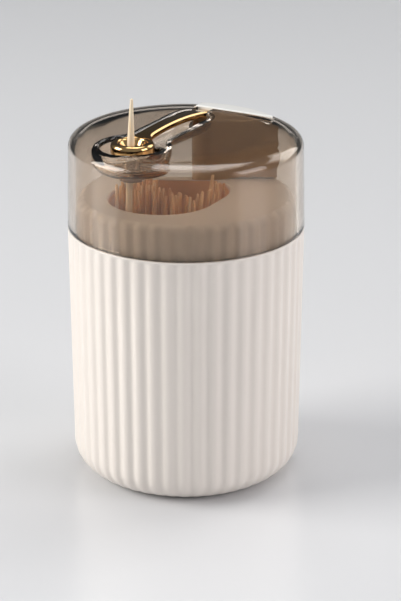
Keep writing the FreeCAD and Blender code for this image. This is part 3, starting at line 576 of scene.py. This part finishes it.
def makeSpoon(name, grow, topZ, lip=0.0):
    # The recess as a solid: a rounded lip, the wall, the rounded foot and the floor.
    rings = [spoonRing(grow + lip, lambda x: topZ)]
    if lip:
        for step in range(spoon["lipSteps"] + 1):
            angle = math.radians(spoon["lipTurn"] * (1 - step / spoon["lipSteps"]))
            height = lidTop - lip * (1 - math.sin(angle))
            rings.append(spoonRing(grow + lip * (1 - math.cos(angle)), lambda x: height))
    foot = spoon["footRound"] + grow
    for step in range(spoon["footSteps"] + 1):
        angle = math.radians(90 * step / spoon["footSteps"])
        rise = foot * (1 - math.sin(angle))
        rings.append(spoonRing(grow - foot * (1 - math.cos(angle)), lambda x: spoonFloor(x) - grow + rise))
    innermost = rings[-1]
    endX = spoon["endX"] - spoon["half"]
    for share in (0.25, 0.5, 0.75, 1.0):
        ring = []
        for point, height in innermost:
            spine = Vector((min(endX, max(lever["nozzleX"], point.x)), lever["offset"]))
            inner = point.lerp(spine, share)
            ring.append((inner, spoonFloor(inner.x) - grow))
        rings.append(ring)
    placed = [[leverPoint(point.x, point.y, height) for point, height in ring] for ring in rings]
    # The last ring lies on the spine, where its two sides merge and close the solid.
    return stacked(name, placed, capLast=False)


button = {
    "reach": jarRadius - 5.2, "front": 23.15, "left": 9.7, "right": 15.0,
    "gap": 0.25, "wellFoot": 97.0, "edge": 0.5, "edgeSteps": 6,
}
armSlot = {"start": 17.4, "end": 24.0, "half": 2.5, "foot": 94.7}
armWay = [(armSlot[end], lever["offset"] + side * armSlot["half"])
          for end, side in (("start", -1), ("end", -1), ("end", 1), ("start", 1))]


def buttonOutline(offset=0.0, right=button["right"]):
    # The D: its straight front edge, two short sides and the curved back.
    reach, front = button["reach"] + offset, button["front"] - offset
    left, right = button["left"] + offset, right + offset
    side = math.sqrt(reach ** 2 - right ** 2)
    back = arc((0, 0), reach, math.atan2(-right, side), math.asin(left / reach), 32)
    return [(front, -right)] + back + [(front, left)]


lid = {
    "radius": extents["lid_cover"]["right"], "wall": 2.1, "rimBevel": 0.3, "steps": 192,
    "arcs": ((3.2, 0, 45, 10), (4.2, 45, 62, 5), (7.5, 62, 78, 5), (26.0, 78, 90, 8)),
    "shoulderRadius": 33.0, "tightest": 62, "drop": 0.25, "tighten": 0.64,
    "bossRadius": 3.4, "bossFoot": extents["guide_bush"]["foot"], "bossTop": 94.1,
    "boreRadius": 2.85, "boreFoot": 86.7, "boreTop": 98.7, "recessJoin": lidTop - 1.0,
    "recessTop": lidTop + 3.0, "cutTop": 103.0,
}


def lidShoulder(inset):
    # Arcs that grow wider lead from the side up to the flat top. The line inside has the same
    # slope where light that comes in through the outside meets it, so it starts a little lower
    # and its tight arcs are smaller.
    rise = sum(radius * (math.sin(math.radians(end)) - math.sin(math.radians(start)))
               for radius, start, end, steps in lid["arcs"])
    points = [Vector((lid["shoulderRadius"] - inset, lidTop - rise - lid["drop"] * inset))]
    for radius, start, end, steps in lid["arcs"]:
        if end <= lid["tightest"]:
            radius -= lid["tighten"] * inset
        angle = math.radians(start)
        centre = points[-1] - radius * Vector((math.cos(angle), math.sin(angle)))
        for step in range(1, steps + 1):
            angle = math.radians(start + (end - start) * step / steps)
            points.append(centre + radius * Vector((math.cos(angle), math.sin(angle))))
    return points


def makeLid():
    rim = [
        Vector((lid["radius"] - lid["wall"], jarRim)),
        Vector((lid["radius"] - lid["rimBevel"], jarRim)),
        Vector((lid["radius"], jarRim + lid["rimBevel"])),
    ]
    inside = lidShoulder(lid["wall"])
    outline = rim + lidShoulder(0.0) + [Vector((0.0, lidTop)), Vector((0.0, inside[-1].y))] + inside[::-1]
    outline.append(rim[0].copy())
    piece = spun("lidCover", outline, lid["steps"])
    adds = [
        makeSpoon("recessBack", spoon["wall"], lid["recessJoin"]),
        upright("recessBoss", nozzle, lid["bossRadius"], lid["bossFoot"], lid["bossTop"]),
    ]
    cuts = [
        makeSpoon("recessHollow", 0.0, lid["recessTop"], spoon["lip"]),
        upright("bushBore", nozzle, lid["boreRadius"], lid["boreFoot"], lid["boreTop"]),
        prism("armSlot", armWay, armSlot["foot"], lid["cutTop"]),
        prism("buttonOpening", buttonOutline(button["gap"]), button["wellFoot"], lid["cutTop"]),
    ]
    for add in adds:
        combine(piece, add, "UNION")
    for cut in cuts:
        combine(piece, cut, "DIFFERENCE")
    tidyMesh(piece)
    complete(piece, "lid", smokeClear, "lid_cover", weighted=True)


makeLid()

# The housing under the button.
housing = {
    "left": extents["button_box"]["left"], "right": extents["button_box"]["right"],
    "front": extents["button_box"]["front"], "foot": extents["button_box"]["foot"],
    "reach": 29.8, "corner": 6.0, "top": 98.9, "edge": 0.6, "edgeSteps": 5, "footBevel": 0.3,
    "lidGap": 0.2, "roomSteps": 128, "roomFoot": extents["button_box"]["foot"] - 2.0,
    "cutFoot": extents["button_box"]["foot"] - 1.0, "recessGap": 0.06,
    "capWell": 95.2, "coreRight": 9.0, "coreInset": 0.05,
    "coverSeat": extents["box_cover"]["top"], "coverInset": 1.2,
    "screws": ((9.0, 14.9), (17.2, 14.9)), "screwRadius": 0.8, "screwTop": extents["box_screws"]["top"],
}


def housingOutline(inset):
    # The left front corner is rounded and the back follows the lid's side.
    left, right = housing["left"] + inset, housing["right"] - inset
    front, reach = housing["front"] + inset, housing["reach"] - inset
    corner = housing["corner"] - inset
    turn = arc((left + corner, front + corner), corner, math.pi, 1.5 * math.pi, 16)
    back = arc((0, 0), reach, math.acos(right / reach), math.acos(left / reach), 24)
    return turn + [(right, front)] + back


def housingBlock(name, stages):
    # Each stage is the outline's inset and its height.
    return stacked(name, [
        [Vector((*point, height)) for point in housingOutline(inset)] for inset, height in stages])


def makeHousing():
    edge, top, foot = housing["edge"], housing["top"], housing["foot"]
    stages = [(housing["footBevel"], foot), (0.0, foot + housing["footBevel"])]
    for step in range(housing["edgeSteps"] + 1):
        angle = math.radians(90 * step / housing["edgeSteps"])
        stages.append((edge * (1 - math.cos(angle)), top - edge * (1 - math.sin(angle))))
    piece = housingBlock("buttonHousing", stages)
    room = lidShoulder(lid["wall"] + housing["lidGap"])
    room = [Vector((room[0].x, housing["roomFoot"]))] + room
    room += [Vector((0.0, room[-1].y)), Vector((0.0, housing["roomFoot"]))]
    combine(piece, spun("lidRoom", room, housing["roomSteps"]), "INTERSECT")
    seat = [(housing["coverInset"], height) for height in (housing["cutFoot"], housing["coverSeat"])]
    coreOutline = buttonOutline(-housing["coreInset"], housing["coreRight"])
    cuts = [
        housingBlock("coverSeat", seat),
        prism("capWell", buttonOutline(button["gap"]), housing["capWell"], lid["cutTop"]),
        prism("coreWell", coreOutline, housing["cutFoot"], lid["cutTop"]),
        makeSpoon("recessRoom", spoon["wall"] + housing["recessGap"], lid["cutTop"]),
        prism("armRoom", armWay, armSlot["foot"], lid["cutTop"]),
    ]
    for place in housing["screws"]:
        cuts.append(upright("screwHole", place, housing["screwRadius"], deckTop, housing["screwTop"], 24))
    for cut in cuts:
        combine(piece, cut, "DIFFERENCE")
    tidyMesh(piece)
    complete(piece, "lid", housingPaintedShade, "button_box", weighted=True)


makeHousing()

# The gold arm with its eyelet, the nozzle cup and the button.
arm = {
    "foot": extents["lever_arm"]["foot"], "half": 2.1, "thickness": 1.7,
    "chamfer": 0.42, "edgeRound": (0.2, 0.12),
    "ring": 6.1, "bore": 3.9, "crest": 101.7, "crown": 0.1, "boreDrop": 0.9,
    "ringRounds": (0.5, 1.25, 0.7), "ringSteps": 96,
    "start": 102.0, "end": 100.1, "arch": 130.0, "rise": 5.0, "sink": 0.02, "blend": 5.0, "inset": 0.3,
    "chordX": button["front"], "chordGap": 0.6, "tailX": (24.5, 26.5),
    "fineStep": 0.4, "fineSteps": 18, "coarseStep": 1.4, "coarseSteps": 22,
}


def makeEyelet():
    foot, crest, bore, ring = arm["foot"], arm["crest"], arm["bore"], arm["ring"]
    under, over, inner = arm["ringRounds"]
    return spun("leverArm", roundedPath([
        (bore, foot),
        (ring, foot, under),
        (ring, crest - arm["crown"], over),
        (bore + arm["crown"], crest, inner),
        (bore, crest - arm["boreDrop"]),
        (bore, foot),
    ]), arm["ringSteps"], nozzle)


def makeLeverArm():
    startX = lever["nozzleX"] + arm["bore"] + arm["inset"]
    along = math.sqrt((arm["ring"] - arm["inset"] + arm["blend"]) ** 2 - (arm["half"] + arm["blend"]) ** 2)
    run, fall = arm["chordX"] - startX, arm["start"] - arm["end"]
    tilt = math.atan2(-fall, run)
    depth = math.sqrt(arm["arch"] ** 2 - (math.hypot(run, fall) / 2) ** 2)
    centreX = startX + run / 2 + math.sin(tilt) * depth
    centreZ = (arm["start"] + arm["end"]) / 2 - math.cos(tilt) * depth

    def topAt(x):
        # The arch, let into the eyelet at its start and level under the button.
        if x >= arm["chordX"]:
            return arm["end"]
        arch = centreZ + math.sqrt(arm["arch"] ** 2 - (x - centreX) ** 2)
        drop = arm["start"] - arm["crest"] - arm["sink"]
        return arch - (1 - eased(x, startX, startX + arm["rise"])) * drop

    def halfAt(x):
        flare = lever["nozzleX"] + along - x
        if flare <= 0:
            return arm["half"]
        return arm["half"] + arm["blend"] - math.sqrt(max(0.0, arm["blend"] ** 2 - flare ** 2))

    stations = [startX + arm["fineStep"] * step for step in range(arm["fineSteps"])]
    stations += [stations[-1] + arm["coarseStep"] * step for step in range(1, arm["coarseSteps"] + 1)]
    stations = [x for x in stations if x < arm["chordX"] - arm["chordGap"]] + [arm["chordX"], *arm["tailX"]]
    edge = arm["chamfer"]
    low, high = arm["edgeRound"]
    sections = []
    for x in stations:
        half, top = halfAt(x), topAt(x)
        foot = max(arm["foot"], top - arm["thickness"])
        shape = roundedPath([
            (-half, foot, low), (half, foot, low), (half, top - edge, high), (half - edge, top, high),
            (-half + edge, top, high), (-half, top - edge, high)], turnStep=30)
        sections.append([leverPoint(x, lever["offset"] + point.x, point.y) for point in shape])
    piece = makeEyelet()
    combine(piece, stacked("armStrip", sections), "UNION")
    complete(piece, "plunger", goldPlate, "lever_arm", smoothAngle=30, weighted=True)


def makeNozzleCup():
    funnel = {
        "foot": extents["nozzle_cup"]["foot"], "seat": extents["nozzle_tube"]["top"],
        "outer": 3.9, "edge": (101.2, 0.12), "rim": (3.5, 101.3, 0.25), "dish": (2.6, 99.9, 0.8),
        "throat": 1.85, "tube": 2.35, "turnStep": 12, "steps": 72,
    }
    piece = spun("nozzleCup", roundedPath([
        (funnel["tube"], funnel["foot"]),
        (funnel["outer"], funnel["foot"]),
        (funnel["outer"], *funnel["edge"]),
        funnel["rim"],
        funnel["dish"],
        (funnel["throat"], funnel["seat"]),
        (funnel["tube"], funnel["seat"]),
        (funnel["tube"], funnel["foot"]),
    ], funnel["turnStep"]), funnel["steps"], nozzle)
    complete(piece, "plunger", goldPlate, "nozzle_cup", smoothAngle=35)


def makeButton():
    foot, top = extents["thumb_button"]["foot"], extents["thumb_button"]["top"]
    edge, steps = button["edge"], button["edgeSteps"]
    stages = [(0.0, foot)]
    for step in range(steps + 1):
        angle = math.radians(90 * step / steps)
        stages.append((-edge * (1 - math.cos(angle)), top - edge * (1 - math.sin(angle))))
    piece = stacked("thumbButton", [
        [leverPoint(*point, height) for point in buttonOutline(offset)] for offset, height in stages])
    complete(piece, "plunger", whiteGloss, "thumb_button", weighted=True)


makeLeverArm()
makeNozzleCup()
makeButton()

# The toothpicks: the served one in the nozzle and the bunch in the cup.
pick = {"length": 65.0, "radius": 1.0, "point": 0.38, "taper": 12.0, "blunt": 0.15}


def makePick(name, sides, taperSteps, radius=pick["radius"], bend=0.92):
    # Straight in the middle, with ends that narrow in a slight curve to a blunt point.
    end = [(0.0, pick["point"] * 0.5)]
    for step in range(taperSteps + 1):
        share = step / taperSteps
        reach = pick["point"] + (radius - pick["point"]) * share ** bend
        end.append((max(pick["blunt"], pick["taper"] * share), reach))
    rings = []
    for height, reach in end + [(pick["length"] - height, reach) for height, reach in reversed(end)]:
        ring = arc((0, 0), reach, 0, 2 * math.pi, sides)[:-1]
        rings.append([Vector((*point, height)) for point in ring])
    return stacked(name, rings)


def stand(piece, foot, direction, tone):
    # The pick leans from its foot, and its attribute carries its own tone of wood.
    layer = piece.data.attributes.new("pickTone", "FLOAT", "POINT")
    layer.data.foreach_set("value", [tone] * len(piece.data.vertices))
    piece.rotation_mode = "QUATERNION"
    piece.rotation_quaternion = Vector((0, 0, 1)).rotation_difference(direction)
    piece.location = foot


def makeServedPick():
    served = {"tip": lidTop + 12.9, "lean": math.radians(1.5), "shift": 0.1, "tone": 1.3}
    piece = makePick("servedPick", sides=20, taperSteps=8)
    direction = Vector((math.sin(served["lean"]), 0, math.cos(served["lean"])))
    tip = Vector((nozzle.x - served["shift"], nozzle.y, served["tip"]))
    stand(piece, tip - direction * pick["length"], direction, served["tone"])
    applyPlace(piece)
    complete(piece, "pick", birchWood, "served_toothpick", smoothAngle=40)


bunch = {
    "reach": 13.4, "spare": 0.2, "pitch": 2.28, "rowShare": 0.866, "start": -14.6, "nearest": -15.0,
    "floor": cup["floor"] + 0.1, "radius": 0.95, "bend": 1.15, "seed": 7,
    "jitter": 0.25, "sway": 1.3, "fan": 0.09, "slant": 8.0, "slantFrom": 1.0, "slantOver": 4.0,
    "slantRange": (0.6, 1.2), "lift": 2.2, "tones": (-0.5, 0.6), "housing": (0.2, 10.2),
    "stray": {"foot": (6.0, 0.4), "head": (7.4, 2.0), "lift": 5.9, "tone": 0.7},
    "taken": ((-8.0, -3.2), (-5.6, 1.2), (-4.0, 5.6), (2.3, 11.4), (9.0, 16.4), (20.0, 12.0), (15.0, -5.6),
              (5.3, -5.4), (-0.4, -6.0), (-5.4, -6.2)),
}
cupMiddle, cupHalfRun = (cup["near"] + cup["far"]) / 2, (cup["far"] - cup["near"]) / 2


def taken(x, y):
    # Whether a place lies in the part of the bunch that has been used up.
    inside = False
    for index, (startX, startY) in enumerate(bunch["taken"]):
        endX, endY = bunch["taken"][index - 1]
        if (startY > y) != (endY > y) and x < startX + (y - startY) * (endX - startX) / (endY - startY):
            inside = not inside
    return inside


def held(x, y):
    # Brings a place back inside the cup's oval.
    past = math.copysign(max(0.0, abs(x - cupMiddle) - cupHalfRun), x - cupMiddle)
    reach = math.hypot(past, y - cup["across"])
    if reach <= bunch["reach"]:
        return leverPoint(x, y)
    share = bunch["reach"] / reach
    return leverPoint(x - past * (1 - share), cup["across"] + (y - cup["across"]) * share)


def bunchPlaces():
    # Staggered rows of places in the cup, each as (foot, head, height, tone).
    dice = random.Random(bunch["seed"])
    rowPitch = bunch["pitch"] * bunch["rowShare"]
    rows = int((bunch["reach"] + cupHalfRun) / rowPitch) + 1
    nearest, jitter, sway = bunch["nearest"], bunch["jitter"], bunch["sway"]
    places = []
    for row in range(-rows, rows + 1):
        for column in range(-rows, rows + 1):
            x = cupMiddle + row * rowPitch + dice.uniform(-jitter, jitter)
            y = cup["across"] + (column + 0.5 * (row % 2)) * bunch["pitch"] + dice.uniform(-jitter, jitter)
            past = max(0.0, abs(x - cupMiddle) - cupHalfRun)
            if math.hypot(past, y - cup["across"]) > bunch["reach"] + bunch["spare"] or x < bunch["start"]:
                continue
            swayX, swayY = dice.uniform(-sway, sway), dice.uniform(-sway, sway)
            if taken(x + swayX, y + swayY):
                continue
            fan = bunch["fan"] * min(0.0, y - cup["across"])
            head = held(max(x + swayX, nearest), y + swayY + fan)
            # Those at the free side lean outwards, so their feet stand further in.
            lean = min(1.0, max(0.0, (head.x - bunch["slantFrom"]) / bunch["slantOver"]))
            slant = bunch["slant"] * lean * dice.uniform(*bunch["slantRange"])
            footX = max(x - swayX * 0.5, nearest) - math.cos(lever["azimuth"]) * slant
            foot = held(footX, y - swayY * 0.5 + math.sin(lever["azimuth"]) * slant)
            if head.x > bunch["housing"][0] and head.y > bunch["housing"][1]:
                continue
            height = bunch["floor"] + dice.uniform(0.0, bunch["lift"])
            places.append((foot, head, height, dice.uniform(*bunch["tones"])))
    stray = bunch["stray"]
    places.append((Vector((*stray["foot"], 0)), Vector((*stray["head"], 0)),
                   bunch["floor"] + stray["lift"], stray["tone"]))
    return places


def makeBunch():
    master = makePick("pickBunch", sides=8, taperSteps=4, radius=bunch["radius"], bend=bunch["bend"])
    copies = []
    for foot, head, height, tone in bunchPlaces():
        lean = head - foot
        up = math.sqrt(pick["length"] ** 2 - lean.length ** 2)
        copy = master.copy()
        copy.data = master.data.copy()
        bpy.context.collection.objects.link(copy)
        stand(copy, (foot.x, foot.y, height), Vector((lean.x, lean.y, up)), tone)
        copies.append(copy)
    bpy.data.objects.remove(master, do_unlink=True)
    choose(copies[0])
    for copy in copies:
        copy.select_set(True)
    bpy.ops.object.join()
    piece = called("pickBunch")
    applyPlace(piece)
    complete(piece, "jar", birchWood, "toothpick_bunch", smoothAngle=50)


makeServedPick()
makeBunch()

# The plain pieces keep their CAD mesh and get their finish.
finishes = {
    "foot_pad": softRubber, "grip_ring": softRubber,
    # These inner parts take the housing's painted shade.
    "box_cover": housingPaintedShade, "plunger_core": housingPaintedShade, "guide_bush": housingPaintedShade,
    "box_screws": springSteel, "arm_screw": springSteel,
    "return_spring": springSteel, "nozzle_tube": springSteel,
}
for name, material in finishes.items():
    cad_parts[name].data.materials.clear()
    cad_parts[name].data.materials.append(material)
print("plain pieces finished")

studio = {
    "floorSize": 6, "floorPlace": (0, 1.0, 0),
    "floorColour": (0.72, 0.73, 0.75), "floorRoughness": 0.25,
    "worldColour": (0.80, 0.83, 0.86), "fallFrom": (0.35, 0.35), "fallTo": (0.85, 0.08), "aim": (0, 0, 0.05),
    # Each lamp has its place, size, power and colour.
    "lamps": {
        "keyLamp": ((-1.2, -0.1, 0.65), 0.8, 17.0, (1.0, 0.97, 0.93)),
        "fillLamp": ((1.1, -0.45, 0.52), 0.7, 6.0, (1.0, 0.93, 0.92)),
        "topLamp": ((0.1, 0.3, 1.3), 0.8, 6.0, (1.0, 1.0, 1.0)),
        "rimLamp": ((1.1, 0.85, 0.78), 0.9, 6.0, (1.0, 0.98, 0.95)),
    },
}


def makeFloor():
    clearSelection()
    bpy.ops.mesh.primitive_plane_add(size=studio["floorSize"], location=studio["floorPlace"])
    floor = called("studioFloor")
    material, tree, shader = newMaterial("studioFloor")
    shader.inputs["Base Color"].default_value = (*studio["floorColour"], 1)
    shader.inputs["Roughness"].default_value = studio["floorRoughness"]
    floor.data.materials.append(material)


def makeWorld():
    # The light falls off behind the object, as it does before a dark flag.
    world = bpy.data.worlds.new("studio")
    bpy.context.scene.world = world
    world.use_nodes = True
    tree = world.node_tree
    around = addNode(tree, "TexCoord")
    parts = addNode(tree, "SeparateXYZ")
    # The light's strength at two places from front to back, as shares of the world's depth.
    (startY, startLight), (endY, endLight) = studio["fallFrom"], studio["fallTo"]
    ends = {"From Min": startY, "From Max": endY, "To Min": startLight, "To Max": endLight}
    fall = addNode(tree, "MapRange", ends, interpolation_type="SMOOTHSTEP")
    tree.links.new(around.outputs["Generated"], parts.inputs["Vector"])
    tree.links.new(parts.outputs["Y"], fall.inputs["Value"])
    tree.links.new(fall.outputs["Result"], tree.nodes["Background"].inputs["Strength"])
    tree.nodes["Background"].inputs["Color"].default_value = (*studio["worldColour"], 1)


def makeLamps():
    for name, (place, size, power, colour) in studio["lamps"].items():
        clearSelection()
        bpy.ops.object.light_add(type="AREA", location=place)
        lamp = bpy.context.object
        lamp.name = name
        lamp.data.size = size
        lamp.data.energy = power
        lamp.data.color = colour
        lamp.rotation_euler = (Vector(studio["aim"]) - Vector(place)).to_track_quat("-Z", "Y").to_euler()


def makeCamera():
    # The focal length and the height of the frame are in pixels.
    view = {
        "place": (0.00407, -0.58979, 0.27569), "pitch": 20.94,
        "focal": 2200, "frameHeight": 601, "sensor": 36, "clip": 0.01,
    }
    clearSelection()
    bpy.ops.object.camera_add(location=view["place"], rotation=(math.radians(90 - view["pitch"]), 0, 0))
    camera = bpy.context.object
    camera.name = "viewCamera"
    camera.data.sensor_width = view["sensor"]
    camera.data.lens = view["focal"] / view["frameHeight"] * view["sensor"]
    camera.data.clip_start = view["clip"]
    bpy.context.scene.camera = camera


makeFloor()
makeWorld()
makeLamps()
makeCamera()
bpy.context.scene.view_settings.view_transform = "Standard"
print("studio ready")

print("scene ready")
